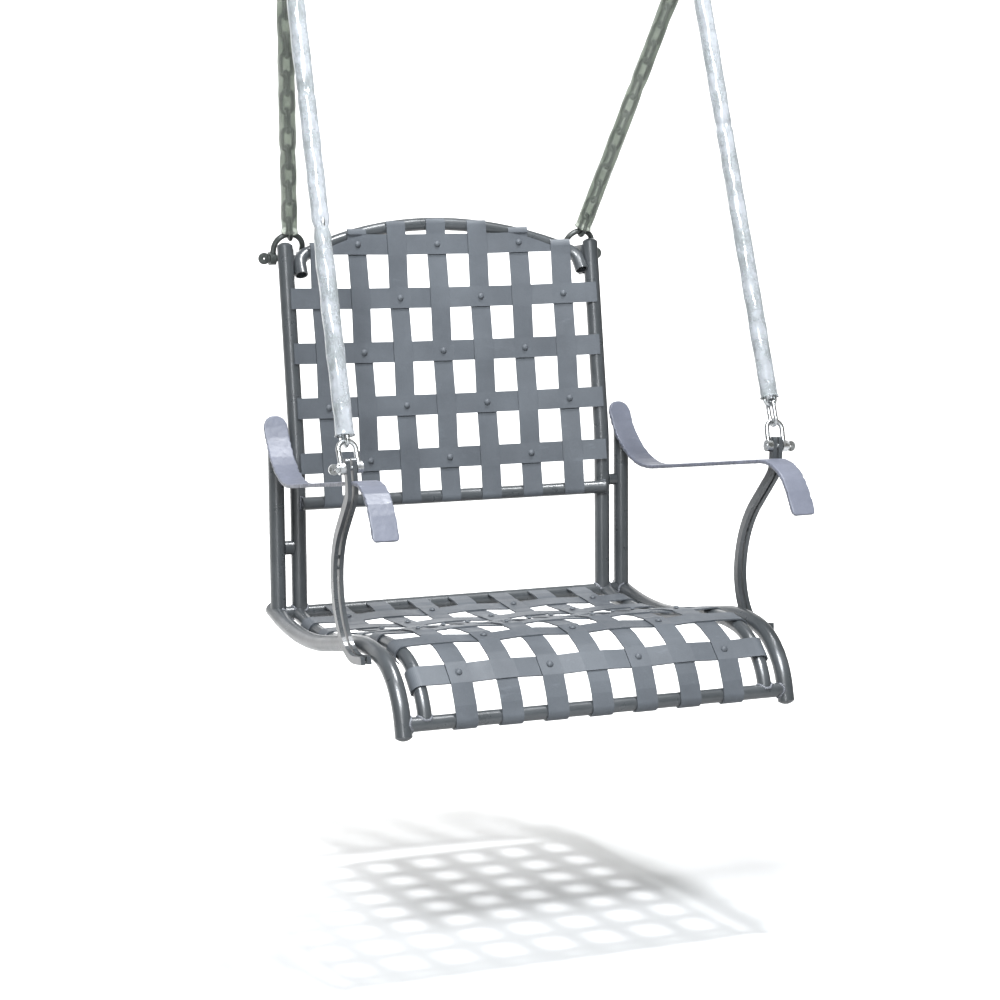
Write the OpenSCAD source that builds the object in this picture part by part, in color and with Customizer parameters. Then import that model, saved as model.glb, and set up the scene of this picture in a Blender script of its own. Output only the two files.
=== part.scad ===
// Hanging porch chair: woven steel strap seat and back on a bent tube frame,
// carried by four sleeved chains, two rings and two ceiling hooks.
// X = to the sitter's left, -Y = forwards, +Z = up.  The origin is on the ceiling,
// midway between the two hooks.  The seat is drawn square on its own axes and then
// hung at its balance angle by hung().

/* [Seat frame] */
// Overall width across the two side rails
seat_w = 482.6; // [470:0.1:500]
// Outer diameter of side rails, arm posts and back posts
rail_d = 19; // [18:0.5:20]
// Outer diameter of the seat rails, cross bars and back arch
bar_d = 16; // [15:0.5:16]
// Wall of every steel tube
tube_wall = 1.5; // [1.2:0.1:2]
// Inset of the arm posts from the side rails' centres
post_inset = 2.3; // [1:0.1:3]
// Distance of each back post from the centre line
back_post_x = 202.5; // [201:0.5:204]
// Distance of each seat rail from the centre line
seat_rail_x = 206; // [205:0.5:207]
// Lean of the lower posts towards the front, in degrees
post_lean = 1; // [0.5:0.5:2]
// Lean of the back towards the rear, in degrees
back_lean = 6.5; // [6:0.5:8]

/* [Lattice] */
// Width of every strap
strap_w = 25; // [22:1:26]
// Thickness of every strap
strap_t = 1.6; // [1.2:0.1:1.8]
// Spacing of the straps that run up the back and along the seat
long_pitch = 53.8; // [52:0.2:54]
// Spacing of the rows across the back
back_row_pitch = 65.9; // [64:0.5:66]
// Spacing of the rows across the seat
seat_row_pitch = 57; // [56:0.5:58]
// How far the middle of the back is dished towards the rear
back_dish = 26; // [22:1:28]
// Diameter of a rivet head
rivet_head_d = 8; // [7:0.5:9]

/* [Arms] */
// Width of the armrest strap
arm_w = 30; // [28:0.5:31]
// Thickness of the armrest strap
arm_t = 4.5; // [4:0.5:5]
// Thickness of each flat bar of a front brace, across the chair
brace_t = 4.8; // [4:0.1:5]
// Depth of each flat bar of a front brace, fore and aft
brace_d = 9; // [8:0.5:10]
// Slot between the two bars of a brace
brace_gap = 2.6; // [2:0.1:3]

/* [Hanging gear] */
// Distance of each hook from the centre line
hook_x = 254; // [252:1:256]
// Wire of the ceiling hooks
hook_wire = 9.5; // [9:0.5:10]
// Inner radius of the hanging rings
ring_r = 19; // [18:0.5:20]
// Wire of the hanging rings
ring_wire = 6.5; // [6:0.5:7]
// Wire of the chain links
link_wire = 4.8; // [4.5:0.1:5]
// Inner width of the chain links
link_gap = 8.4; // [8:0.1:8.6]
// Number of links in each front chain
front_links = 24; // [24:2:24]
// Number of links in each rear chain
rear_links = 16; // [16:2:16]
// Outer diameter of the clear sleeves over the chains
sleeve_d = 21; // [20.5:0.5:22]
// Wall of the clear sleeves
sleeve_wall = 0.8; // [0.6:0.1:1]
// Balance angle at which the seat hangs, in degrees
hang_tilt = 1.2; // [0:0.05:4]

/* [Hidden] */
$fn = 48;
SIDES = ["left", "right"];

FRAME = "#565b68";
STRAPS = "#5f6571";
ARM = "#6f7488";
ZINC = "#a9adb0";
DARK = "#33383a";
CLEAR = "#dfe6ea";

gap = 0.1;              // clearance left between touching pieces
rail_r = rail_d / 2;
bar_r = bar_d / 2;
rail_x = seat_w / 2 - rail_r;
post_x = rail_x - post_inset;

// ---- paths: a list of [length, turn]; a turn is in degrees, positive upwards ----

function step(st, l, turn) = abs(turn) < 0.001
    ? [st[0] - l * cos(st[2]), st[1] + l * sin(st[2]), st[2]]
    : let (r = l * 180 / (PI * turn))
      [st[0] - r * (sin(st[2] + turn) - sin(st[2])),
       st[1] - r * (cos(st[2] + turn) - cos(st[2])),
       st[2] + turn];

// Place [y, z, heading] at distance s along a path that starts at st
function walk(path, s, st, i = 0) = i >= len(path) ? st :
    s <= path[i][0] ? step(st, s, path[i][1] * s / path[i][0]) :
    walk(path, s - path[i][0], step(st, path[i][0], path[i][1]), i + 1);

// Point at an offset above the path
function above(st, h) = [st[0] + h * sin(st[2]), st[1] + h * cos(st[2])];

module ring_2d(d, bore) {
    difference() {
        circle(d = d);
        if (bore > 0) circle(d = bore);
    }
}

// Tube along a path, starting at the origin, heading +Z, turning towards +X
module tube_run(path, d, bore) {
    difference() {
        rod_run(path, d, -0.1);
        if (bore > 0) rod_run(path, bore, 0.1);
    }
}

// Round rod along a path.  Each piece stops a hair short of the next, and a short disc,
// narrower (or, for a cutter, wider) by ease, bridges them
hair = 0.01;
module rod_run(path, d, ease, i = 0) {
    if (i < len(path)) {
        l = path[i][0];
        a = abs(path[i][1]);
        if (i > 0) translate([0, 0, -0.2]) cylinder(d = d + ease, h = 0.4);
        if (a < 0.001) {
            translate([0, 0, hair]) cylinder(d = d, h = l - 2 * hair);
            translate([0, 0, l]) rod_run(path, d, ease, i + 1);
        } else {
            r = l * 180 / (PI * a);
            trim = hair * a / l;
            flip = path[i][1] > 0 ? 0 : 180;
            rotate([0, 0, flip]) {
                translate([r, 0, 0]) rotate([90, 0, 180]) rotate([0, 0, trim])
                    rotate_extrude(angle = a - 2 * trim, start = 0) translate([r, 0]) circle(d = d);
                translate([r * (1 - cos(a)), 0, r * sin(a)]) rotate([0, a, 0])
                    rotate([0, 0, flip]) rod_run(path, d, ease, i + 1);
            }
        }
    }
}

// Turns local +Z to the chair's front (-Y) and local +X to up
module side_plane(y, z, heading) {
    translate([0, y, z]) multmatrix([[0, -1, 0, 0], [0, 0, -1, 0], [1, 0, 0, 0], [0, 0, 0, 1]])
        rotate([0, heading, 0]) children();
}

module both() {
    children();
    mirror([1, 0, 0]) children();
}

module side(s) {
    if (s == "left") mirror([1, 0, 0]) children();
    else children();
}

// ---- seat ----

// Side view of the rails, from the rear end forwards: a dip, a rise, a rolled front
seat_start = [10, -8, -16];
seat_path = [[12, 0], [180, 24], [94, 0], [77.5, -20], [94.5, -66], [16, 0]];
rear_bar_s = 14;
front_bar_s = 461;
seat_rows = 7;
first_row_s = front_bar_s - 48 - (seat_rows - 1) * seat_row_pitch;

function seat_at(s) = walk(seat_path, s, seat_start);
function row_s(j) = first_row_s + (j - 1) * seat_row_pitch;

module seat_run(d, bore) {
    side_plane(seat_start[0], seat_start[1], seat_start[2]) tube_run(seat_path, d, bore);
}

module rail_fill() {
    both() translate([rail_x, 0, 0]) side_plane(seat_start[0], seat_start[1], seat_start[2])
        rod_run(seat_path, rail_d + gap, 0.1);
}

module cross_bar(s, d, bore) {
    st = seat_at(s);
    translate([-rail_x, st[0], st[1]]) rotate([0, 90, 0]) linear_extrude(2 * rail_x) ring_2d(d, bore);
}

module side_rail() {
    translate([rail_x, 0, 0]) seat_run(rail_d, rail_d - 2 * tube_wall);
}

module seat_rail() {
    difference() {
        translate([seat_rail_x, 0, 0]) seat_run(bar_d, bar_d - 2 * tube_wall);
        cross_bar(rear_bar_s, bar_d + gap, 0);
        cross_bar(front_bar_s, bar_d + gap, 0);
        // the saddles stop short of the two cross bars' middles
        beyond(rear_bar_s + 3, 1);
        beyond(front_bar_s - 3, -1);
        stand(back_post_x) translate([0, 0, -10]) cylinder(d = rail_d + gap, h = 50);
    }
}

// Block that clears everything past a place on the seat path, rearwards (1) or forwards (-1)
module beyond(s, way) {
    st = seat_at(s);
    translate([0, st[0], st[1]]) rotate([-st[2], 0, 0]) translate([-300, way > 0 ? 0 : -60, -30])
        cube([600, 60, 60]);
}

module front_bar() {
    difference() {
        cross_bar(front_bar_s, bar_d, bar_d - 2 * tube_wall);
        rail_fill();
    }
}

module rear_bar() {
    difference() {
        cross_bar(rear_bar_s, bar_d, bar_d - 2 * tube_wall);
        rail_fill();
    }
}

// ---- posts ----

post_foot = [seat_at(rear_bar_s)[0], seat_at(rear_bar_s)[1]];
lower_post = 178;         // from the rear bar to the bend in the back post
bend_r = 260;
bend_l = bend_r * (back_lean + post_lean) * PI / 180;
upper_post = 229.4;         // from the bend to the top of the back post
arm_post_l = 222;

// The back's own frame: Y is square to the back, Z runs up it, at the end of the bend
bend_end = [post_foot[0] - lower_post * sin(post_lean)
                + bend_r * (cos(post_lean) - cos(back_lean)),
            post_foot[1] + lower_post * cos(post_lean)
                + bend_r * (sin(back_lean) + sin(post_lean))];

module back_frame() {
    translate([0, bend_end[0], bend_end[1]]) rotate([-back_lean, 0, 0]) children();
}

// Stands a path on the rear end of the seat, local +X towards the rear
module stand(x) {
    translate([x, post_foot[0], post_foot[1]]) rotate([0, 0, 90]) rotate([0, -post_lean, 0]) children();
}

back_post_path = [[lower_post, 0], [bend_l, back_lean + post_lean], [upper_post, 0]];

module back_post_fill() {
    stand(back_post_x) rod_run(back_post_path, rail_d + gap, 0.1);
}

module back_post() {
    difference() {
        stand(back_post_x) tube_run(back_post_path, rail_d, rail_d - 2 * tube_wall);
        cross_bar(rear_bar_s, bar_d + gap, 0);
        foot_block();
    }
}

module arm_post() {
    difference() {
        stand(post_x) linear_extrude(arm_post_l) ring_2d(rail_d, rail_d - 2 * tube_wall);
        rail_fill();
        cross_bar(rear_bar_s, bar_d + gap, 0);
        foot_block();
        arm_cut();
    }
}

// Clears whatever stands below the rear bar's middle
module foot_block() {
    translate([-300, post_foot[0] - 60, post_foot[1] - 60]) cube([600, 120, 60]);
}

// Short stub that ties an arm post to the back post beside it, at a height up the posts
module post_spacer(z, d) {
    x0 = back_post_x + rail_r - 1.5;
    difference() {
        stand(0) translate([0, 0, z]) rotate([90, 0, 0]) translate([0, 0, x0])
            linear_extrude(post_x - rail_r + 1.5 - x0) circle(d = d);
        stand(back_post_x) linear_extrude(arm_post_l) circle(d = rail_d + gap);
        stand(post_x) linear_extrude(arm_post_l) circle(d = rail_d + gap);
    }
}

module post_spacers() {
    post_spacer(140, 14);
    mirror([1, 0, 0]) post_spacer(79, 17);
}

// A low dome that closes a tube's end, its skirt inside the tube
module plug(d) {
    h = 4;
    ball = (d * d / 4 + h * h) / (2 * h);
    skirt_d = d - 2 * tube_wall - gap;
    intersection() {
        translate([0, 0, h - ball]) sphere(r = ball);
        cylinder(d = d, h = 2 * h);
    }
    translate([0, 0, -8]) cylinder(d = skirt_d, h = 8.01);
}

module tube_plugs() {
    total = seat_path[0][0] + seat_path[1][0] + seat_path[2][0] + seat_path[3][0]
        + seat_path[4][0] + seat_path[5][0];
    tip = seat_at(total);
    both() {
        side_rail_end(tip[0], tip[1], tip[2]);
        translate([rail_x, seat_start[0], seat_start[1]]) rotate([-90 - seat_start[2], 0, 0])
            plug(rail_d);
        back_frame() translate([back_post_x, 0, upper_post]) plug(rail_d);
    }
}

module side_rail_end(y, z, heading) {
    translate([rail_x, y, z]) rotate([90 - heading, 0, 0]) plug(rail_d);
}

// ---- back ----

bar_w = -80.6;            // height of the bottom bar in the back frame
dish_half = back_post_x;
lattice_front = rail_r + strap_t / 2 + 0.5;
dish_r = (dish_half * dish_half + back_dish * back_dish) / (2 * back_dish);
dish_centre = back_dish - lattice_front - dish_r;   // Y of the dish's axis in the back frame
back_rows = 5;
row_1_w = 230.4;
weave = strap_t / 2 + 0.1;                          // offset of a strap at a crossing
bar_off = bar_r + strap_t / 2 + 0.2;                // from the lattice to a bar's centre

arch_r = 390.7;           // radius of the arch's crown
arch_tilt = 25.7;         // the arch leans back out of the back's plane by this much
arch_top_w = 256.5;
arch_half = 26.6;         // half the angle of the crown
arch_bend_r = 18;
arch_bend = 60;
arch_tail = 14;

function row_w(j) = row_1_w - (j - 1) * back_row_pitch;
function strap_angle(k) = (k - 4) * long_pitch / dish_r * 180 / PI;
function odd(n) = n % 2 == 1;

// Out at an angle round the dish's axis, local +Y outwards (to the rear)
module round_dish(angle, r = 0) {
    translate([0, dish_centre, 0]) rotate([0, 0, -angle]) translate([0, r, 0]) children();
}

module arch_frame() {
    translate([0, back_dish - lattice_front + bar_off, arch_top_w]) rotate([-arch_tilt, 0, 0])
        translate([0, 0, -arch_r]) children();
}

// Arch: tail, bend, crown, bend, tail, drawn from the right-hand tail
arch_path = [[arch_tail, 0], [arch_bend * PI / 180 * arch_bend_r, arch_bend],
    [2 * arch_half * PI / 180 * arch_r, 2 * arch_half],
    [arch_bend * PI / 180 * arch_bend_r, arch_bend], [arch_tail, 0]];
arch_bend_c = [(arch_r - arch_bend_r) * sin(arch_half), (arch_r - arch_bend_r) * cos(arch_half)];
arch_side = arch_half + arch_bend - 90;    // how far each tail turns in past straight down

module arch_place() {
    back_frame() arch_frame() translate([arch_bend_c[0], 0, arch_bend_c[1]])
        rotate([0, arch_side, 0]) translate([arch_bend_r, 0, -arch_tail]) rotate([0, 0, 180])
            children();
}

module back_arch() {
    arch_place() tube_run(arch_path, bar_d, bar_d - 2 * tube_wall);
}

module arch_fill() {
    arch_place() rod_run(arch_path, bar_d + gap, 0.1);
}

module back_bar_run(d, bore) {
    half = asin(back_post_x / (dish_r + bar_off));
    back_frame() translate([0, dish_centre, bar_w])
        rotate_extrude(angle = 2 * half, start = 90 - half) translate([dish_r + bar_off, 0])
            ring_2d(d, bore);
}

module back_bar() {
    difference() {
        back_bar_run(bar_d, bar_d - 2 * tube_wall);
        both() back_post_fill();
    }
}

// Flat strip through a list of [x, y, nx, ny] stations, t thick
function strip(pts, t) = concat(
    [for (p = pts) [p[0] + p[2] * t / 2, p[1] + p[3] * t / 2]],
    [for (i = [len(pts) - 1:-1:0]) [pts[i][0] - pts[i][2] * t / 2, pts[i][1] - pts[i][3] * t / 2]]);

// Stations round a tube's centre, for a strap's end wrapped round it; side is the normal's sign
function wrap(c, r, from, to, side) = let (n = round(abs(to - from) / 10))
    [for (i = [0:n]) let (a = from + (to - from) * i / n)
        [c[0] + r * cos(a), c[1] + r * sin(a), side * cos(a), side * sin(a)]];

// Radial distance and height of the arch's centre at an angle round the dish
function arch_drop(x) = arch_r - sqrt(arch_r * arch_r - x * x);
function arch_y(x) = back_dish - lattice_front + bar_off - arch_drop(x) * sin(arch_tilt);
function arch_z(x) = arch_top_w - arch_drop(x) * cos(arch_tilt);
function arch_slope(x) = asin(x / arch_r);

module back_strap(k) {
    a = strap_angle(k);
    x = abs((dish_r + bar_off) * sin(a));
    // inner radius of the wrap, eased so that both edges clear the sloping, tilted arch
    hug = (bar_r + gap) / cos(arch_slope(x)) + strap_w / 2 * tan(arch_slope(x)) * sin(arch_tilt) + 0.2;
    top_y = norm([x, arch_y(x) - dish_centre]) - dish_r;
    flat = strap_w / 2 + 1.5;
    // the outermost straps meet the arch before they reach the top row
    outer = k == 1 || k == 7;
    rows = [for (j = [back_rows:-1:outer ? 2 : 1], e = [-flat, flat])
        [odd(j + k) ? weave : -weave, min(row_w(j) + e, arch_z(x) - 2.5)]];
    stations = concat(rows, outer ? [[-weave, row_w(1) - strap_w / 2 - 5]] : []);
    pts = concat(wrap([bar_off, bar_w], bar_off, 222, 180, -1),
        [for (s = stations) [s[0], s[1], 1, 0]],
        wrap([top_y, arch_z(x)], hug + strap_t / 2, 180, 145, -1));
    back_frame() round_dish(a, dish_r)
        difference() {
            rotate([90, 0, 90]) translate([0, 0, -strap_w / 2]) linear_extrude(strap_w)
                polygon(strip(pts, strap_t));
            rivet_holes(k);
        }
}

module rivet_holes(k) {
    for (j = [1:back_rows]) if (odd(j + k))
        translate([0, 0, row_w(j)]) rotate([90, 0, 0]) cylinder(d = 4.2, h = 20, center = true);
}

module back_slat(j) {
    end_a = asin(back_post_x / dish_r);
    flat = (strap_w / 2 + 1.5) / dish_r * 180 / PI;
    inner = [for (k = [1:7], e = [-flat, flat])
        [strap_angle(k) + e, odd(j + k) ? -weave : weave]];
    stations = j == 1 ? inner : concat([[-end_a, 0]], inner, [[end_a, 0]]);
    pts = [for (s = stations) [(dish_r + s[1]) * sin(s[0]), (dish_r + s[1]) * cos(s[0]),
        sin(s[0]), cos(s[0])]];
    back_frame() difference() {
        translate([0, dish_centre, row_w(j) - strap_w / 2])
            linear_extrude(strap_w) polygon(strip(pts, strap_t));
        for (k = [1:7]) if (odd(j + k)) round_dish(strap_angle(k), dish_r)
            translate([0, 0, row_w(j)]) rotate([90, 0, 0]) cylinder(d = 4.2, h = 20, center = true);
        // the top row is cut to the underside of the arch
        if (j == 1) arch_frame() rotate([90, 0, 0]) difference() {
            translate([0, 0, -40]) cylinder(r = arch_r + 60, h = 80, $fn = 96);
            translate([0, 0, -41]) cylinder(r = arch_r - 7.5, h = 82, $fn = 96);
        }
    }
}

// Dome head, shank through two straps, and a flat closing head
module rivet() {
    grip = strap_t + weave;
    head_h = 2.4;
    ball = (rivet_head_d * rivet_head_d / 4 + head_h * head_h) / (2 * head_h);
    translate([0, 0, grip + 0.1]) intersection() {
        translate([0, 0, head_h - ball]) sphere(r = ball);
        cylinder(d = rivet_head_d, h = 2 * head_h);
    }
    translate([0, 0, -grip - 0.2]) cylinder(d = 4, h = 2 * grip + 0.5);
    translate([0, 0, -grip - 1.4]) cylinder(d = rivet_head_d - 1, h = 1.3);
}

module back_rivets() {
    back_frame() for (j = [1:back_rows], k = [1:7]) if (odd(j + k))
        round_dish(strap_angle(k), dish_r) translate([0, 0, row_w(j)]) rotate([90, 0, 0]) rivet();
}

// ---- seat lattice ----

seat_off = bar_r + strap_t / 2 + 0.3;    // from the rails' centres to the lattice

// Seats something on the lattice at a row, local +Z square to the seat and +Y rearwards
module on_seat(s) {
    st = seat_at(s);
    translate([0, st[0], st[1]]) rotate([-st[2], 0, 0]) children();
}

// A strap lies flat over each crossing and follows the rails between crossings
module seat_strap(k) {
    flat = strap_w / 2 + 1;
    tail = seat_at(rear_bar_s + 5.6);
    tail_at = above(tail, 7.2);
    front = seat_at(front_bar_s);
    crossings = [for (j = [1:seat_rows], e = [-flat, flat])
        let (st = seat_at(row_s(j)), p = above(st, seat_off + (odd(j + k) ? -weave : weave)))
        [row_s(j) + e, p[0] - e * cos(st[2]), p[1] + e * sin(st[2]), st[2]]];
    between = [for (j = [0:seat_rows], f = [0.4, 0.6])
        let (s = row_s(j) + f * seat_row_pitch) if (s > rear_bar_s + 5 && s < front_bar_s - 5)
        let (st = seat_at(s), p = above(st, seat_off)) [s, p[0], p[1], st[2]]];
    pts = concat([[tail_at[0], tail_at[1], sin(tail[2]), cos(tail[2])]],
        [for (q = merge(crossings, between)) [q[1], q[2], sin(q[3]), cos(q[3])]],
        wrap(front, seat_off, 90 - front[2], 240 - front[2], 1));
    difference() {
        translate([(k - 4) * long_pitch - strap_w / 2, 0, 0]) rotate([90, 0, 90])
            linear_extrude(strap_w) polygon(strip(pts, strap_t));
        seat_rivet_holes();
    }
}

// Two lists of stations, each sorted by distance, joined into one
function merge(a, b, i = 0, j = 0) = i >= len(a) ? [for (n = [j:1:len(b) - 1]) b[n]] :
    j >= len(b) ? [for (n = [i:1:len(a) - 1]) a[n]] :
    a[i][0] <= b[j][0] ? concat([a[i]], merge(a, b, i + 1, j)) : concat([b[j]], merge(a, b, i, j + 1));

module seat_rivet_holes() {
    for (j = [1:seat_rows], k = [1:7]) if (!odd(j + k)) on_seat(row_s(j))
        translate([(k - 4) * long_pitch, 0, seat_off - 5]) cylinder(d = 4.2, h = 10);
}

module seat_slats() {
    flat = strap_w / 2 + 1.5;
    loose = 1;
    for (j = [1:seat_rows]) {
        inner = [for (k = [1:7], e = [-flat, flat])
            [(k - 4) * long_pitch + e, seat_off + (odd(j + k) ? weave : -weave)]];
        pts = concat(wrap([-seat_rail_x, -loose], seat_off + loose, 240, 90, 1),
            [for (s = inner) [s[0], s[1], 0, 1]],
            wrap([seat_rail_x, -loose], seat_off + loose, 90, -60, 1));
        difference() {
            on_seat(row_s(j)) rotate([90, 0, 0]) translate([0, 0, -strap_w / 2])
                linear_extrude(strap_w) polygon(strip(pts, strap_t));
            seat_rivet_holes();
        }
    }
}

module seat_rivets() {
    for (j = [1:seat_rows], k = [1:7]) if (!odd(j + k)) on_seat(row_s(j))
        translate([(k - 4) * long_pitch, 0, seat_off]) rivet();
}

// ---- arms ----

arm_start = [-1, 226, -75];      // rear end of the armrest: y, z and heading
arm_path = [[143.3, 80.5], [248, 0], [69.3, -68.5], [28, 0]];
arm_rear_x = 228;
arm_splay = 3.05;                // the armrest spreads outwards by this angle
arm_len = 489;

// Local frame of an armrest: X across the strap
module arm_frame() {
    translate([arm_rear_x, 0, 0]) rotate([0, 0, arm_splay]) children();
}

function arm_at(s) = walk(arm_path, s, arm_start);

module arm_band(t) {
    stations = [for (i = [0:34]) let (s = i * arm_len / 34, st = arm_at(min(s, 488.6)))
        [st[0], st[1], sin(st[2]), cos(st[2])]];
    rotate([90, 0, 90]) linear_extrude(arm_w, center = true) polygon(strip(stations, t));
}

module armrest() {
    tip = arm_at(488.6);
    corner = 6;
    top_z = arm_start[1] + 0.5;
    difference() {
        arm_frame() intersection() {
            arm_band(arm_t);
            // outline seen from the front: round tongue at the rear, round corners at the front
            rotate([90, 0, 0]) linear_extrude(1000, center = true) {
                translate([0, top_z - arm_w / 2]) circle(d = arm_w);
                translate([-arm_w / 2, tip[1] + corner - 1])
                    square([arm_w, top_z - arm_w / 2 - tip[1] - corner + 1]);
                translate([-arm_w / 2 + corner, tip[1] - 1]) square([arm_w - 2 * corner, 2 * corner]);
                for (x = [-1, 1]) translate([x * (arm_w / 2 - corner), tip[1] + corner - 1])
                    circle(r = corner);
            }
        }
        brace_envelope(0.25);
    }
}

// Everything above the underside of the armrest's rear curve
module arm_cut() {
    r = 102;
    centre = above(arm_start, r);
    arm_frame() translate([0, centre[0], centre[1]]) rotate([0, 90, 0])
        cylinder(r = r + arm_t / 2 + gap, h = 60, center = true, $fn = 96);
}

// Front brace: a C of two flat bars, from the tabs above the arm to the side rail
brace_top = [-347, 197];
brace_path = [[25, 0], [19.6, 45], [45, 0], [86.4, -45], [49.5, -34.6], [44.3, -60.4], [40, 0]];
brace_x = rail_x + rail_r + 0.5 + brace_t + brace_gap / 2;
brace_splay = 3.3;
brace_foot_z = -20;

// Local frame of a brace: X across the pair, the pair splayed outwards at the top
module brace_frame() {
    translate([brace_x, 0, brace_foot_z]) rotate([0, brace_splay, 0])
        translate([0, 0, -brace_foot_z]) children();
}

brace_len = 292;

function brace_at(s) = walk(brace_path, s, [0, 0, 0]);

// Side view of one bar, w deep: stations down the path from the top
module brace_2d(w) {
    stations = [for (i = [0:44]) let (st = brace_at(i * brace_len / 44))
        [brace_top[0] + st[1], brace_top[1] + st[0], cos(st[2]), sin(st[2])]];
    polygon(strip(stations, w));
    translate(brace_top) circle(d = w);
}

module arm_brace() {
    brace_frame() difference() {
        for (x = [-brace_t - brace_gap / 2, brace_gap / 2]) translate([x, 0, 0])
            rotate([90, 0, 90]) linear_extrude(brace_t) brace_2d(brace_d);
        front_pin_bore();
    }
    // two tacks that join the bars half way down
    brace_frame() for (t = [[-281, 76], [-284, 88]]) translate([0, t[0], t[1]]) rotate([0, 90, 0])
        cylinder(d = 4, h = brace_gap + 0.4, center = true);
}

module front_pin_bore() {
    translate([-20, front_pin[1], front_pin[2]]) rotate([0, 90, 0]) cylinder(d = 6.6, h = 40);
}

// Straight part of the pair, a little larger all round, for the notch in the armrest
module brace_envelope(more) {
    brace_frame() translate([-brace_t - brace_gap / 2 - more, brace_top[0] - brace_d / 2 - more, 150])
        cube([60, brace_d + 2 * more, 60]);
    brace_frame() translate([-brace_t - brace_gap / 2 - more, 0, 0]) rotate([90, 0, 90])
        linear_extrude(2 * brace_t + brace_gap + 2 * more) brace_2d(brace_d + 2 * more);
}

// ---- hanging gear ----

hook_drop = 12;                  // straight neck of a hook under the ceiling
hook_r = 18.75;                  // centre line radius of a hook's bowl
hook_neck_r = 10;
hook_neck = acos(hook_neck_r / (hook_r + hook_neck_r));
axis_z = -hook_drop - (hook_r + hook_neck_r) * sin(hook_neck) - hook_r;

pivot = [-162, 801];             // the hooks' wire in the seat's own frame: y and z
ring_c = [hook_x, pivot[0], pivot[1] + hook_wire / 2 + 0.3 - ring_r];

// Pin centres, in the brace's frame at the front and in the seat's frame at the rear
front_pin = [0, brace_top[0], 191];
front_pin_at = [brace_x + (front_pin[2] - brace_foot_z) * sin(brace_splay), brace_top[0],
    brace_foot_z + (front_pin[2] - brace_foot_z) * cos(brace_splay)];
rear_pin_at = [back_post_x - rail_r + 0.5, 43, 413];

front_crown = 27;                // pin to the inside of a shackle's crown
rear_crown = 29;

module hung() {
    translate([0, 0, axis_z]) rotate([-hang_tilt, 0, 0]) translate([0, -pivot[0], -pivot[1]])
        children();
}

module hook() {
    thread_l = 42;
    translate([hook_x, 0, 0]) {
        rotate([180, 0, 0]) tube_run([[hook_drop, 0],
            [hook_neck * PI / 180 * hook_neck_r, -hook_neck],
            [262 * PI / 180 * hook_r, 262]], hook_wire, 0);
        translate([0, 0, -3]) cylinder(d = 2 * hook_wire, h = 3);
        translate([0, 0, -4]) cylinder(d = hook_wire, h = 20);
        translate([0, 0, 10]) cylinder(d = hook_wire - 1.5, h = thread_l);
        translate([0, 0, 10 + thread_l]) cylinder(d1 = hook_wire - 1.5, d2 = 1.5, h = 9);
    }
}

module ring() {
    translate(ring_c) rotate([0, 90, 0]) rotate_extrude() translate([ring_r + ring_wire / 2, 0])
        circle(d = ring_wire);
}

// Turns local +Z towards a direction with local X kept across the chair as far as it can be
module aim(v) {
    swing = atan2(-v[1], v[2]);
    out = asin(v[0] / norm(v));
    rotate([swing, 0, 0]) rotate([0, out, 0]) children();
}

// One link, its inner length along Z from the origin
module link(l) {
    bend_c = link_gap / 2 + link_wire / 2;
    half = l - link_gap;
    translate([0, 0, link_gap / 2]) rotate([90, 0, 0])
        rotate_extrude(angle = 180, start = 180) translate([bend_c, 0]) circle(d = link_wire);
    translate([0, 0, link_gap / 2 + half]) rotate([90, 0, 0])
        rotate_extrude(angle = 180, start = 0) translate([bend_c, 0]) circle(d = link_wire);
    for (x = [-1, 1]) translate([x * bend_c, 0, link_gap / 2]) cylinder(d = link_wire, h = half);
}

// Where a chain starts, inside the crown of its shackle
function crown_at(pin, crown, lean) = let (v = ring_c - pin, d = norm([v[1], v[2]]))
    pin + crown * [sin(lean) * v[2] / d, v[1] / d, cos(lean) * v[2] / d];

// From there to the inside of the ring
function chain_v(pin, crown, lean) = let (v = crown_at(pin, crown, lean) - ring_c)
    ring_c + ring_r / norm([v[1], v[2]]) * [0, v[1], v[2]] - crown_at(pin, crown, lean);

module chain(pin, crown, lean, n) {
    v = chain_v(pin, crown, lean);
    l = norm(v) / n;
    translate(crown_at(pin, crown, lean)) aim(v) for (i = [0:n - 1])
        translate([0, 0, i * l - 0.05]) rotate([0, 0, odd(i) ? 0 : 90]) link(l + 0.1);
}

// Clear tube over a chain from one distance along it to 17 short of its end
module sleeve(pin, crown, lean, from) {
    v = chain_v(pin, crown, lean);
    translate(crown_at(pin, crown, lean)) aim(v) translate([0, 0, from])
        linear_extrude(norm(v) - 17 - from) ring_2d(sleeve_d, sleeve_d - 2 * sleeve_wall);
}

// Bow shackle on its pin, crown towards the ring, the pin tipped down outwards by lean
module shackle(pin, crown, lean, jaw, wire, bore) {
    v = ring_c - pin;
    r = jaw / 2 + wire / 2;
    leg = crown + wire / 2 - r;
    translate(pin) rotate([0, lean, 0]) rotate([atan2(-v[1], v[2]), 0, 0]) difference() {
        union() {
            translate([0, 0, leg]) rotate([90, 0, 0])
                rotate_extrude(angle = 180, start = 0) translate([r, 0]) circle(d = wire);
            for (x = [-1, 1]) {
                translate([x * r, 0, 0]) cylinder(d = wire, h = leg);
                translate([x * r, 0, 0]) rotate([0, 90, 0])
                    cylinder(d = 2 * wire + 2, h = wire + 0.8, center = true);
            }
        }
        rotate([0, 90, 0]) cylinder(d = bore, h = 4 * r, center = true);
    }
}

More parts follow.
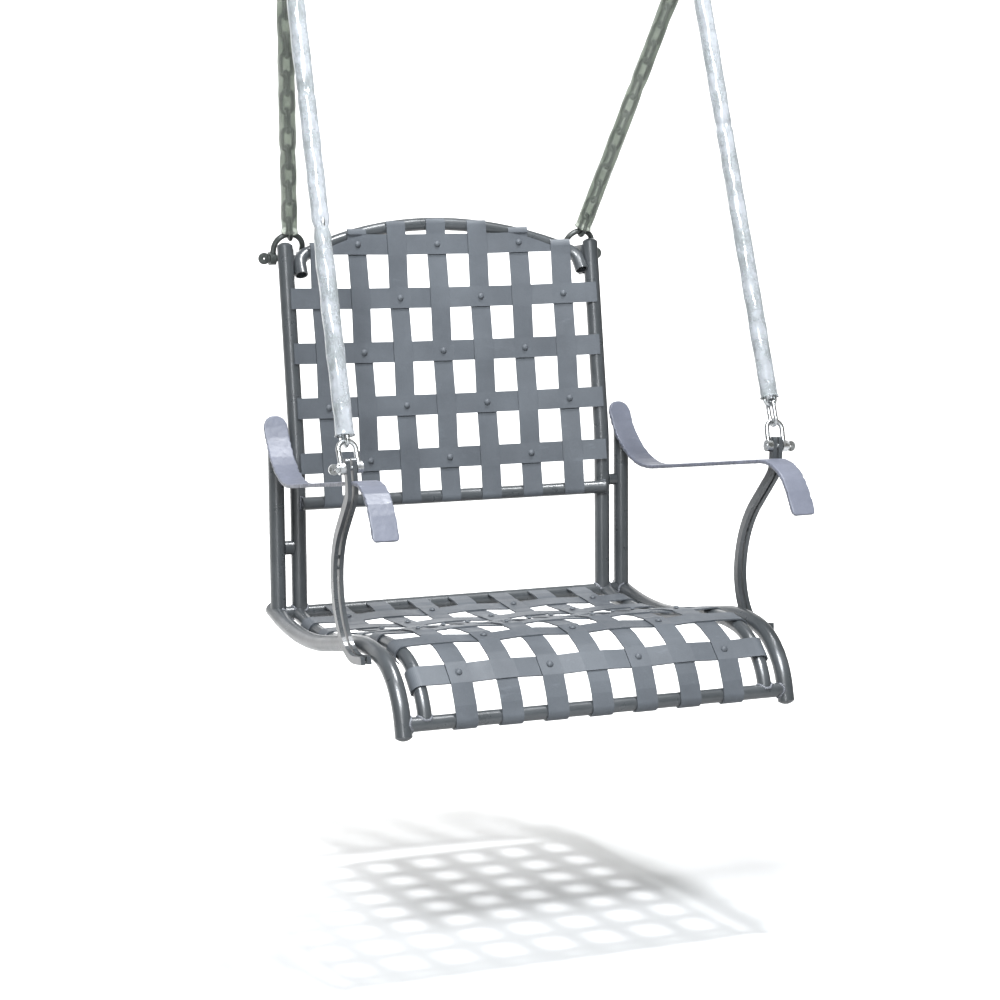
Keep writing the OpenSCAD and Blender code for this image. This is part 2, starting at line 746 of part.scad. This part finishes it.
// Screw pin across the chair, its flattened head on the outside
module shackle_pin(pin, lean, jaw, wire, d) {
    reach = jaw / 2 + wire + 1;
    translate(pin) rotate([0, lean, 0]) {
        rotate([0, 90, 0]) cylinder(d = d, h = 2 * reach, center = true);
        translate([reach - 0.01, 0, 0]) rotate([0, 90, 0]) cylinder(d = d + 2.5, h = 2);
        translate([reach + 1.9 + d / 2, 0, 0]) rotate([90, 0, 0]) difference() {
            cylinder(d = 2 * d - 1, h = 2.6, center = true);
            cylinder(d = 2.4, h = 10, center = true);
        }
    }
}

front_jaw = 2 * brace_t + brace_gap + 2;
front_wire = 5.6;
front_pin_d = 6.4;
rear_jaw = 29;
rear_wire = 7;
rear_pin_d = 7.6;
lug_t = 5;

// Plate behind the seam between a back post and the arch's tail
module shackle_lugs() {
    both() difference() {
        translate([rear_pin_at[0] - lug_t / 2, 0, 0]) rotate([90, 0, 90]) linear_extrude(lug_t) {
            translate([rear_pin_at[1], rear_pin_at[2]]) circle(d = 19);
            polygon([[22, 424], [rear_pin_at[1], rear_pin_at[2] + 9.5],
                [rear_pin_at[1] + 6.5, rear_pin_at[2] - 7], [30, 386], [20, 388]]);
        }
        translate([0, rear_pin_at[1], rear_pin_at[2]]) rotate([0, 90, 0])
            cylinder(d = rear_pin_d + 0.2, h = 600);
        back_post_fill();
        arch_fill();
    }
}

// ---- what is drawn ----

for (s = SIDES) {
    color(ZINC) side(s) hook();
    color(ZINC) hung() side(s) ring();
    color(ZINC) hung() side(s)
            chain(front_pin_at, front_crown, brace_splay, front_links);
    color(DARK) hung() side(s) chain(rear_pin_at, rear_crown, 0, rear_links);
    color(CLEAR) hung() side(s)
            sleeve(front_pin_at, front_crown, brace_splay, s == "left" ? 8 : 30);
    color(CLEAR) hung() side(s) sleeve(rear_pin_at, rear_crown, 0, 8);
    color(ZINC) hung() side(s)
        shackle(front_pin_at, front_crown, brace_splay, front_jaw, front_wire, front_pin_d + 0.2);
    color(DARK) hung() side(s)
        shackle(rear_pin_at, rear_crown, 0, rear_jaw, rear_wire, rear_pin_d + 0.2);
    color(FRAME) hung() side(s) side_rail();
    color(FRAME) hung() side(s) seat_rail();
    color(FRAME) hung() side(s) arm_post();
    color(FRAME) hung() side(s) back_post();
    color(ARM) hung() side(s) armrest();
    color(FRAME) hung() side(s) arm_brace();
}
color(ZINC) hung()  // shackle_pins_front
    both() shackle_pin(front_pin_at, brace_splay, front_jaw, front_wire, front_pin_d);
color(DARK) hung()  // shackle_pins_rear
    both() shackle_pin(rear_pin_at, 0, rear_jaw, rear_wire, rear_pin_d);
color(FRAME) hung() shackle_lugs();
color(FRAME) hung() front_bar();
color(FRAME) hung() rear_bar();
color(FRAME) hung() back_arch();
color(FRAME) hung() back_bar();
color(FRAME) hung() tube_plugs();
color(FRAME) hung() post_spacers();
for (k = [1:7]) {
    color(STRAPS) hung() back_strap(k);
    color(STRAPS) hung() seat_strap(k);
}
for (j = [1:5])
    color(STRAPS) hung() back_slat(j);
color(STRAPS) hung() seat_slats();
color(STRAPS) hung() back_rivets();
color(STRAPS) hung() seat_rivets();
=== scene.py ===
import math

import bpy
import numpy as np
from mathutils import Matrix, Vector, noise
from mathutils.bvhtree import BVHTree


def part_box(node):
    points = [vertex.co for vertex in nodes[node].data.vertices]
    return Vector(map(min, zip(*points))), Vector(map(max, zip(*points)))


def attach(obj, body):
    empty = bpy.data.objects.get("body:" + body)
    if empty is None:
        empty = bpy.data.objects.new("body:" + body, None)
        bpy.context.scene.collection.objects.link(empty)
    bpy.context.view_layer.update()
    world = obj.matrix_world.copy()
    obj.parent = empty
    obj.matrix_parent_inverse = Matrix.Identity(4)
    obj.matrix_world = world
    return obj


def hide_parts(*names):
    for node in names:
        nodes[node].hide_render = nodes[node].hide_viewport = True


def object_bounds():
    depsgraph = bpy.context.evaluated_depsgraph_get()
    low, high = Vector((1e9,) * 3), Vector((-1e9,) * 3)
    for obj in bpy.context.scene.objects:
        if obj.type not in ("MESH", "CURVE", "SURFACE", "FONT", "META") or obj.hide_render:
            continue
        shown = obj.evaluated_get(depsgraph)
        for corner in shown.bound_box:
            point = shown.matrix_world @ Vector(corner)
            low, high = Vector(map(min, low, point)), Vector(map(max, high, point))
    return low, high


# Looks of a hanging porch chair: powder-coated strap lattice on a tube frame, zinc and
# black chains in clear vinyl sleeves. Metres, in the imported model's frame.

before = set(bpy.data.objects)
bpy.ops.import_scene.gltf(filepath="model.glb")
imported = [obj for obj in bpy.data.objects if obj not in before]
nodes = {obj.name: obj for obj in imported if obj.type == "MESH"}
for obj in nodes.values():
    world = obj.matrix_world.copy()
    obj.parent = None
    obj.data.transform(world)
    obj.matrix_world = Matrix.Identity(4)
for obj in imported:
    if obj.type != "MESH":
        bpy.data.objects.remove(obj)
cad_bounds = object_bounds()
SIDES = ("left", "right")


# ---- node material helpers ----

class Mat:
    """A Principled material built from a few chained helpers."""

    def __init__(self, name):
        self.mat = bpy.data.materials.new(name)
        self.mat.use_nodes = True
        self.tree = self.mat.node_tree
        self.tree.nodes.clear()
        self.out = self.add("ShaderNodeOutputMaterial")
        self.bsdf = self.add("ShaderNodeBsdfPrincipled")
        self.link(self.bsdf.outputs["BSDF"], self.out.inputs["Surface"])
        self.coord = self.add("ShaderNodeTexCoord").outputs["Object"]

    def add(self, kind, **values):
        node = self.tree.nodes.new(kind)
        for key, value in values.items():
            setattr(node, key, value)
        return node

    def link(self, a, b):
        self.tree.links.new(a, b)

    def set(self, **values):
        """Fix sockets of the shader; an underscore in a key stands for a space."""
        for key, value in values.items():
            self.bsdf.inputs[key.replace("_", " ")].default_value = value

    def plug(self, socket, output):
        self.link(output, self.bsdf.inputs[socket])

    def stretched(self, x, y, z):
        mapping = self.add("ShaderNodeMapping")
        mapping.inputs["Scale"].default_value = (x, y, z)
        self.link(self.coord, mapping.inputs["Vector"])
        return mapping.outputs["Vector"]

    def noise(self, scale, detail=3.0, rough=0.55, vector=None):
        tex = self.add("ShaderNodeTexNoise")
        tex.inputs["Scale"].default_value = scale
        tex.inputs["Detail"].default_value = detail
        tex.inputs["Roughness"].default_value = rough
        self.link(vector or self.coord, tex.inputs["Vector"])
        return tex.outputs["Fac"]

    def ramp(self, fac, low, high):
        """A colour between two stops, each given as (place, colour)."""
        ramp = self.add("ShaderNodeValToRGB")
        for element, (place, colour) in zip(ramp.color_ramp.elements, (low, high)):
            element.position = place
            element.color = (*colour, 1.0)
        self.link(fac, ramp.inputs["Fac"])
        return ramp.outputs["Color"]

    def remap(self, fac, low, high, to_low, to_high):
        node = self.add("ShaderNodeMapRange")
        limits = {"From Min": low, "From Max": high, "To Min": to_low, "To Max": to_high}
        for key, value in limits.items():
            node.inputs[key].default_value = value
        self.link(fac, node.inputs["Value"])
        return node.outputs["Result"]

    def mix(self, fac, a, colour):
        """Blend the socket a towards a fixed colour by the socket fac."""
        node = self.add("ShaderNodeMix", data_type="RGBA")
        self.link(fac, node.inputs["Factor"])
        self.link(a, node.inputs["A"])
        node.inputs["B"].default_value = (*colour, 1.0)
        return node.outputs["Result"]

    def bump(self, height, strength, distance, base=None):
        node = self.add("ShaderNodeBump")
        node.inputs["Strength"].default_value = strength
        node.inputs["Distance"].default_value = distance
        self.link(height, node.inputs["Height"])
        if base is not None:
            self.link(base, node.inputs["Normal"])
        return node.outputs["Normal"]


# ---- materials ----

def powder_coat(name, dark, light, rough, grain=1.0, shine=0.3):
    """Satin powder coat: orange peel, fine speckle, soft dusty patches and faint scuffs."""
    m = Mat(name)
    patches = m.noise(14, 4, 0.6)
    speckle = m.noise(1500, 2, 0.7)
    tone = m.add("ShaderNodeHueSaturation")
    m.link(m.ramp(patches, (0.3, dark), (0.72, light)), tone.inputs["Color"])
    m.link(m.remap(speckle, 0.35, 0.7, 0.86, 1.14), tone.inputs["Value"])
    scuffs = m.remap(m.noise(30, 5, 0.7, m.stretched(1.0, 0.3, 3.0)), 0.62, 0.74, 0.0, 0.22)
    pale = tuple(min(1.0, c * 1.9) for c in light)
    m.plug("Base Color", m.mix(scuffs, tone.outputs["Color"], pale))
    m.plug("Roughness", m.remap(m.noise(60, 4, 0.6), 0.25, 0.75, rough - 0.06, rough + 0.08))
    peel = m.bump(m.noise(620, 2, 0.5), 0.14 * grain, 0.0006)
    fine = m.bump(m.noise(2600, 1, 0.5), 0.12 * grain, 0.00015, peel)
    m.plug("Normal", m.bump(m.noise(45, 2, 0.5), 0.08, 0.0012, fine))
    m.set(Specular_IOR_Level=shine)
    return m.mat


def zinc_plate(name):
    """Bright plated steel, mottled and a little rough."""
    m = Mat(name)
    spangle = m.noise(90, 4, 0.65)
    m.plug("Base Color", m.ramp(spangle, (0.3, (0.30, 0.31, 0.31)), (0.7, (0.62, 0.63, 0.64))))
    m.set(Metallic=1.0)
    m.plug("Roughness", m.remap(m.noise(160, 4, 0.6), 0.3, 0.7, 0.22, 0.46))
    m.plug("Normal", m.bump(m.noise(520, 3, 0.6), 0.18, 0.0004))
    return m.mat


def black_steel(name):
    """Blackened steel, worn to dark grey in patches."""
    m = Mat(name)
    wear = m.noise(110, 4, 0.6)
    m.plug("Base Color", m.ramp(wear, (0.3, (0.012, 0.014, 0.013)), (0.75, (0.045, 0.05, 0.047))))
    m.set(Specular_IOR_Level=0.5)
    m.plug("Roughness", m.remap(m.noise(150, 4, 0.6), 0.3, 0.7, 0.3, 0.52))
    m.plug("Normal", m.bump(m.noise(480, 3, 0.6), 0.2, 0.0004))
    return m.mat


def vinyl(name, dark, light, milk, glow):
    """Clear vinyl gone a little cloudy, with soft ripples in its surface."""
    m = Mat(name)
    m.plug("Base Color", m.ramp(m.noise(38, 5, 0.65), (0.28, dark), (0.7, light)))
    m.plug("Roughness", m.remap(m.noise(120, 4, 0.6), 0.3, 0.7, 0.05, 0.16))
    m.plug("Normal", m.bump(m.noise(240, 3, 0.55), 0.22, 0.0008))
    m.set(Transmission_Weight=1.0 - milk, IOR=1.32, Specular_IOR_Level=glow)
    return m.mat


def seamless(name):
    """Matt background paper."""
    m = Mat(name)
    m.plug("Base Color", m.ramp(m.noise(3, 3, 0.5), (0.3, (0.43,) * 3), (0.7, (0.46,) * 3)))
    m.plug("Roughness", m.remap(m.noise(40, 3), 0.3, 0.7, 0.82, 0.9))
    m.plug("Normal", m.bump(m.noise(500, 2), 0.05, 0.0005))
    return m.mat


FRAME_PAINT = powder_coat("frame_coat", dark=(0.026, 0.029, 0.031), light=(0.042, 0.046, 0.050),
                          rough=0.30, shine=0.6)
STRAP_PAINT = powder_coat("strap_coat", dark=(0.048, 0.053, 0.060), light=(0.068, 0.075, 0.084),
                          rough=0.48, shine=0.2)
# The armrests get a lighter, bluer copy of the strap coat: painted light from above falling on their
# tops.
ARM_LIT_PAINT = powder_coat("arm_coat_painted_light", dark=(0.070, 0.075, 0.094), light=(0.104, 0.110, 0.136),
                        rough=0.42, grain=1.6, shine=0.3)
ZINC = zinc_plate("zinc_plate")
BLACK = black_steel("black_steel")
CLEAR = vinyl("clear_vinyl", dark=(0.32, 0.35, 0.35), light=(0.62, 0.64, 0.68), milk=0.34, glow=1.0)
# The rear sleeves get a darker copy of the clear vinyl: painted shade standing for the dark surroundings
# seen through the film, not a tint the film has.
SHADED_VINYL = vinyl("vinyl_painted_shade", dark=(0.27, 0.30, 0.26), light=(0.44, 0.47, 0.42), milk=0.16, glow=0.6)
WELD = powder_coat("weld_coat", dark=(0.045, 0.048, 0.056), light=(0.13, 0.135, 0.15),
                   rough=0.38, grain=2.0, shine=0.4)

COATS = (
    (ZINC, ("hook", "ring", "chain_front", "shackle_front", "shackle_pins_front")),
    (BLACK, ("chain_rear", "shackle_rear", "shackle_pins_rear")),
    (ARM_LIT_PAINT, ("armrest",)),
    (STRAP_PAINT, ("back_strap", "back_slat", "back_rivets", "seat_strap", "seat_slats", "seat_rivets")),
)


def coat_of(node):
    """The material of a CAD node, by how its name starts; the rest is painted frame."""
    for material, starts in COATS:
        if node.startswith(starts):
            return material
    return FRAME_PAINT


for node in nodes:
    nodes[node].data.materials.clear()
    nodes[node].data.materials.append(coat_of(node))


# ---- mesh helpers ----

def put(name, data):
    """A new object in the scene."""
    obj = bpy.data.objects.new(name, data)
    bpy.context.scene.collection.objects.link(obj)
    return obj


def smooth(mesh):
    for poly in mesh.polygons:
        poly.use_smooth = True


def mesh_piece(name, verts, faces, material):
    """A smooth piece of one material that rides on the swing."""
    mesh = bpy.data.meshes.new(name)
    mesh.from_pydata(verts, [], faces)
    mesh.validate()
    obj = put(name, mesh)
    mesh.materials.append(material)
    smooth(mesh)
    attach(obj, "swing")
    return obj


# ---- vinyl sleeves: film drawn in over the links, creased and lipped at the ends ----

LINK_PITCH = 0.02436    # from one chain link to the next
END_SLICE = 0.004       # length of tube whose corners find the centre of an end
RING_STEP = 0.0022      # between rings of corners along a sleeve
FEWEST_RINGS = 60
SEGMENTS = 56           # corners round a sleeve
FILM_WALL = 0.0005
FILM_SWAY = 0.0011      # in and out of the film over folds and links
FILM_SHRINK = 0.0003    # the whole film inside the CAD tube
DEEPEST = 0.0035        # limit on how far the film is drawn in
LIP_HEIGHT = 0.0012
LIP_WIDTH = 0.0016


def axis_of(node):
    """Lower end, upper end and outer radius of a straight tube among the CAD nodes."""
    points = [v.co.copy() for v in nodes[node].data.vertices]
    low = min(points, key=lambda p: p.z)
    high = max(points, key=lambda p: p.z)
    along = (high - low).normalized()
    for _ in range(3):
        places = [p.dot(along) for p in points]
        near, far = min(places), max(places)
        start = [p for p, t in zip(points, places) if t < near + END_SLICE]
        end = [p for p, t in zip(points, places) if t > far - END_SLICE]
        a = sum(start, Vector()) / len(start)
        b = sum(end, Vector()) / len(end)
        along = (b - a).normalized()
    radius = max(((p - a) - along * (p - a).dot(along)).length for p in points)
    return a, b, radius


def across(along):
    """Two unit vectors square to an axis, the first kept across the chair."""
    side = Vector((1, 0, 0))
    side = (side - along * side.dot(along)).normalized()
    return side, along.cross(side).normalized()


def film_radius(s, phi, length, radius, seed, creases):
    """Outer radius of the film at a distance along the sleeve and an angle round it."""
    link = math.cos(math.pi * (s / LINK_PITCH + 0.3 * seed))
    p = Vector((math.cos(phi) * 1.4, math.sin(phi) * 1.4, s * 28 + 7.1 * seed))
    folds = noise.noise(p) * 0.55 + 0.3 * noise.noise(p * 2.3)
    drawn = -0.55 * (1 - math.cos(2 * phi) * link) / 2
    crease = 0.0
    for place, depth, width, turn in creases:
        t = (s / length - place) * length / width + 0.25 * math.sin(phi + turn)
        crease -= depth * math.exp(-t * t)
    r = radius + FILM_SWAY * (folds + drawn) - FILM_SHRINK + crease
    to_end = min(s, length - s)
    lip = LIP_HEIGHT * math.exp(-(to_end / LIP_WIDTH) ** 2)
    r += lip * (0.7 + 0.5 * math.sin(phi * 2 + seed))
    return max(r, radius - DEEPEST)


def sleeve(node, material, seed, creases):
    """Film in place of a CAD sleeve; a crease is (share of length, depth, width, turn)."""
    a, b, radius = axis_of(node)
    along = (b - a).normalized()
    side, front = across(along)
    length = (b - a).length
    rings = max(FEWEST_RINGS, int(length / RING_STEP))
    turns = [2 * math.pi * j / SEGMENTS for j in range(SEGMENTS)]
    outer = []
    for i in range(rings + 1):
        s = length * i / rings
        outer += [(s, phi, film_radius(s, phi, length, radius, seed, creases)) for phi in turns]
    verts = [a + along * s + (side * math.cos(phi) + front * math.sin(phi)) * (r - layer * FILM_WALL)
             for layer in (0, 1) for s, phi, r in outer]
    faces = []
    per = len(outer)
    for i in range(rings):
        for j in range(SEGMENTS):
            k = (j + 1) % SEGMENTS
            below, above = i * SEGMENTS, (i + 1) * SEGMENTS
            quad = (below + j, below + k, above + k, above + j)
            faces.append(quad)
            faces.append(tuple(per + v for v in reversed(quad)))
    for i in (0, rings):
        for j in range(SEGMENTS):
            k = (j + 1) % SEGMENTS
            ring = i * SEGMENTS
            quad = (ring + j, per + ring + j, per + ring + k, ring + k)
            faces.append(quad if i == 0 else tuple(reversed(quad)))
    obj = mesh_piece(node.replace("sleeve_", "sleeve_film_"), verts, faces, material)
    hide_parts(node)


SLEEVES = (
    ("sleeve_front_left", CLEAR, [(0.42, 0.0022, 0.006, 0.4), (0.7, 0.001, 0.004, 2)]),
    ("sleeve_front_right", CLEAR, [(0.93, 0.0018, 0.005, 1.0), (0.62, 0.0012, 0.004, 2.4)]),
    ("sleeve_rear_left", SHADED_VINYL, [(0.3, 0.0008, 0.006, 0.0)]),
    ("sleeve_rear_right", SHADED_VINYL, [(0.55, 0.0008, 0.006, 1.7)]),
)
for number, (node, material, creases) in enumerate(SLEEVES, 1):
    sleeve(node, material, number, creases)


# ---- weld beads, laid where one tube's cut end meets another piece ----

BOX_MARGIN = 0.001
TOUCH = 0.00045         # a corner this near another piece's surface touches it
FEWEST_CORNERS = 8
SECTORS = 40            # each keeps its outermost corner of the cut end
BEAD_RADIUS = 0.0015
BEAD_RINGS = 132
BEAD_SIDES = 10
RIPPLES = 26            # round one bead
SMOOTHINGS = 4

surfaces = {}


def surface_of(node):
    """The node's corners as an array, its search tree and its box."""
    if node not in surfaces:
        mesh = nodes[node].data
        co = np.empty(len(mesh.vertices) * 3, dtype=np.float32)
        mesh.vertices.foreach_get("co", co)
        co = co.reshape(-1, 3)
        mesh.calc_loop_triangles()
        tri = np.empty(len(mesh.loop_triangles) * 3, dtype=np.int32)
        mesh.loop_triangles.foreach_get("vertices", tri)
        tree = BVHTree.FromPolygons(co.tolist(), tri.reshape(-1, 3).tolist())
        surfaces[node] = (co, tree, co.min(axis=0) - BOX_MARGIN, co.max(axis=0) + BOX_MARGIN)
    return surfaces[node]


def contact_loop(tube, other, hand):
    """Outer edge of a tube's cut end, in order round it; hand keeps to one side of X, or is 0."""
    co = surface_of(tube)[0]
    _, tree, low, high = surface_of(other)
    keep = np.all((co > low) & (co < high), axis=1)
    if hand:
        keep &= co[:, 0] * hand > 0
    near = [Vector(p) for p in co[keep].tolist()]
    near = [p for p in near if tree.find_nearest(p, TOUCH)[0] is not None]
    if len(near) < FEWEST_CORNERS:
        return []
    centre = sum(near, Vector()) / len(near)
    cloud = np.array([p - centre for p in near])
    normal = Vector(np.linalg.svd(cloud, full_matrices=False)[2][2])
    one = normal.orthogonal().normalized()
    two = normal.cross(one)
    outermost = {}
    for p in near:
        x, y = (p - centre).dot(one), (p - centre).dot(two)
        sector = int((math.atan2(y, x) + math.pi) / (2 * math.pi) * SECTORS) % SECTORS
        reach = math.hypot(x, y)
        if sector not in outermost or reach > outermost[sector][0]:
            outermost[sector] = (reach, p)
    widest = max(reach for reach, _ in outermost.values())
    return [outermost[k][1] for k in sorted(outermost) if outermost[k][0] > 0.8 * widest]


def even_loop(loop):
    """The closed loop with BEAD_RINGS points on it, smoothed."""
    pts = []
    for i in range(BEAD_RINGS):
        t = len(loop) * i / BEAD_RINGS
        k = int(t)
        pts.append(loop[k % len(loop)].lerp(loop[(k + 1) % len(loop)], t - k))
    for _ in range(SMOOTHINGS):
        pts = [(pts[i - 1] + pts[i] * 2 + pts[(i + 1) % BEAD_RINGS]) / 4 for i in range(BEAD_RINGS)]
    return pts


def bead(name, loop, seed):
    """A rippled weld bead along a closed loop."""
    pts = even_loop(loop)
    verts = []
    for i, p in enumerate(pts):
        along = (pts[(i + 1) % BEAD_RINGS] - pts[i - 1]).normalized()
        one = along.orthogonal().normalized()
        two = along.cross(one)
        wave = math.sin(i * 2 * math.pi * RIPPLES / BEAD_RINGS + seed)
        ripple = 1 + 0.16 * wave + 0.25 * noise.noise(p * 260)
        for j in range(BEAD_SIDES):
            a = 2 * math.pi * j / BEAD_SIDES
            verts.append(p + (one * math.cos(a) + two * math.sin(a)) * BEAD_RADIUS * ripple)
    faces = []
    for i in range(BEAD_RINGS):
        here, there = i * BEAD_SIDES, (i + 1) % BEAD_RINGS * BEAD_SIDES
        # the corner of the next ring that is nearest this ring's first, so that the skin doesn't twist
        shift = min(range(BEAD_SIDES), key=lambda j: (verts[there + j] - verts[here]).length)
        for j in range(BEAD_SIDES):
            k = (j + 1) % BEAD_SIDES
            faces.append((here + j, here + k,
                          there + (k + shift) % BEAD_SIDES, there + (j + shift) % BEAD_SIDES))
    mesh_piece(name, verts, faces, WELD)


# the tube that is welded, what it is welded to, and whether the tube has an end on each side
JOINTS = (
    ("front_bar", "side_rail_{0}", True),
    ("rear_bar", "side_rail_{0}", True),
    ("back_bar", "back_post_{0}", True),
    ("arm_post_{0}", "side_rail_{0}", False),
    ("back_post_{0}", "rear_bar", False),
    ("seat_rail_{0}", "rear_bar", False),
    ("seat_rail_{0}", "front_bar", False),
)
for number, (tube, other, both_ends) in enumerate(JOINTS):
    title = f"weld_{tube.split('_{')[0]}_{other.split('_{')[0]}"
    for way, s in ((-1, "right"), (1, "left")):
        hand = 1 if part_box("side_rail_" + s)[0].x > 0 else -1
        loop = contact_loop(tube.format(s), other.format(s), hand if both_ends else 0)
        if loop:
            bead(f"{title}_{s}", loop, number + way)


# ---- armrests: hammered edges on the flat strap ----

VOXEL = 0.0011
REAR_SLICE = 0.02       # lengths of armrest whose middles give its line
FORE_SLICE = 0.03
EDGE_START = 0.72       # share of the half width where the hammered edge starts
DENT_DEPTH = 0.0021
RIPPLE_DEPTH = 0.00018


def remeshed(source, name):
    """A copy of a CAD object with an even, fine mesh."""
    obj = source.copy()
    obj.data = source.data.copy()
    obj.name = name
    bpy.context.scene.collection.objects.link(obj)
    remesh = obj.modifiers.new("remesh", "REMESH")
    remesh.mode = "VOXEL"
    remesh.voxel_size = VOXEL
    depsgraph = bpy.context.evaluated_depsgraph_get()
    mesh = bpy.data.meshes.new_from_object(obj.evaluated_get(depsgraph))
    obj.modifiers.clear()
    obj.data = mesh
    return obj


def hammered(node):
    """The armrest with dents along both edges, in place of the plain one."""
    source = nodes[node]
    obj = remeshed(source, node.replace("armrest_", "armrest_hammered_"))
    mesh = obj.data
    low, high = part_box(node)
    rear = [v.co for v in source.data.vertices if v.co.y > high.y - REAR_SLICE]
    fore = [v.co for v in source.data.vertices if v.co.y < low.y + FORE_SLICE]
    middle = [(min(p.x for p in e) + max(p.x for p in e)) / 2 for e in (rear, fore)]
    half = (max(p.x for p in fore) - min(p.x for p in fore)) / 2
    count = len(mesh.vertices)
    co, normal = (np.empty(count * 3, dtype=np.float32) for _ in range(2))
    mesh.vertices.foreach_get("co", co)
    mesh.vertices.foreach_get("normal", normal)
    co, normal = co.reshape(-1, 3), normal.reshape(-1, 3)
    centre = middle[0] + (middle[1] - middle[0]) * (high.y - co[:, 1]) / (high.y - low.y)
    off_centre = co[:, 0] - centre
    edge = np.clip((np.abs(off_centre) / half - EDGE_START) / (1 - EDGE_START), 0, 1)
    dents = np.array([abs(noise.noise((x * 20, y * 150, z * 150))) for x, y, z in co.tolist()])
    ripple = np.array([noise.noise((x * 190, y * 190, z * 190)) for x, y, z in co.tolist()])
    co[:, 0] -= np.sign(off_centre) * edge * DENT_DEPTH * dents
    co += normal * (RIPPLE_DEPTH * ripple)[:, None]
    mesh.vertices.foreach_set("co", co.ravel())
    mesh.update()
    mesh.materials.clear()
    # the lighter arm coat, which carries painted light from above
    mesh.materials.append(ARM_LIT_PAINT)
    smooth(mesh)
    # the copy leaves the CAD node's own properties and parent behind
    for key in list(obj.keys()):
        del obj[key]
    obj.parent = None
    obj.matrix_world = Matrix.Identity(4)
    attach(obj, "swing")
    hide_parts(node)


for s in SIDES:
    hammered("armrest_" + s)


# ---- stage, lights and camera ----

FLOOR_DROP = 0.27       # from the chair's lowest point to the floor
SWEEP_FRONT = -6.0
SWEEP_BACK = 5.0
SWEEP_HEIGHT = 6.0
SWEEP_BEND = 1.2        # radius where the floor turns up into the wall
SWEEP_HALF_WIDTH = 7.0
BEND_STEPS = 24


def stage():
    """Background paper: a floor that bends up into a wall behind the chair."""
    level = cad_bounds[0][2] - FLOOR_DROP
    bend_start = SWEEP_BACK - SWEEP_BEND
    profile = [(SWEEP_FRONT, 0.0), (bend_start, 0.0)]
    for i in range(1, BEND_STEPS + 1):
        t = math.pi / 2 * i / BEND_STEPS
        profile.append((bend_start + SWEEP_BEND * math.sin(t), SWEEP_BEND - SWEEP_BEND * math.cos(t)))
    profile.append((SWEEP_BACK, SWEEP_HEIGHT))
    verts = [(x, y, level + z) for y, z in profile for x in (-SWEEP_HALF_WIDTH, SWEEP_HALF_WIDTH)]
    faces = [(2 * i, 2 * i + 1, 2 * i + 3, 2 * i + 2) for i in range(len(profile) - 1)]
    mesh = bpy.data.meshes.new("studio_sweep")
    mesh.from_pydata(verts, [], faces)
    smooth(mesh)
    obj = put("studio_sweep", mesh)
    mesh.materials.append(seamless("studio_paper"))


def area_light(name, place, target, size, power, colour=(1, 1, 1)):
    data = bpy.data.lights.new(name, "AREA")
    data.shape = "RECTANGLE"
    data.size, data.size_y = size
    data.energy = power
    data.color = colour
    obj = put(name, data)
    obj.location = place
    obj.rotation_euler = (Vector(target) - Vector(place)).to_track_quat("-Z", "Y").to_euler()


stage()

SEAT = (0.0, 0.0, -0.75)
BACKDROP_SIZE = (2.0, 1.6)
BACKDROP_POWER = 520
area_light("overhead", (0.35, -0.55, 1.75), SEAT, (0.16, 0.16), 105, (0.96, 0.975, 1.0))
area_light("front_high", (-1.1, -2.3, 1.5), SEAT, (0.9, 0.8), 270, (0.93, 0.965, 1.0))
area_light("front_strip", (-1.5, -2.9, -0.3), SEAT, (0.3, 1.6), 30, (0.95, 0.975, 1.0))
area_light("backdrop_left", (-1.9, 1.0, 1.4), (-1.4, 5.0, -0.2), BACKDROP_SIZE, BACKDROP_POWER)
area_light("backdrop_right", (2.2, 1.0, 1.4), (2.4, 5.0, -0.2), BACKDROP_SIZE, BACKDROP_POWER)

world = bpy.data.worlds.new("studio_world")
world.use_nodes = True
background = world.node_tree.nodes["Background"]
background.inputs["Color"].default_value = (1.0, 1.0, 0.9, 1.0)
background.inputs["Strength"].default_value = 0.2
bpy.context.scene.world = world

camera_data = bpy.data.cameras.new("camera")
camera_data.lens = 91.6
camera_data.sensor_width = 36
camera = put("camera", camera_data)
camera.location = (-1.19338, -2.73487, -0.37877)
camera.rotation_euler = [math.radians(a) for a in (83.2178, 0.4028, -23.6238)]
bpy.context.scene.camera = camera
bpy.context.scene.view_settings.view_transform = "Standard"

bpy.context.view_layer.update()
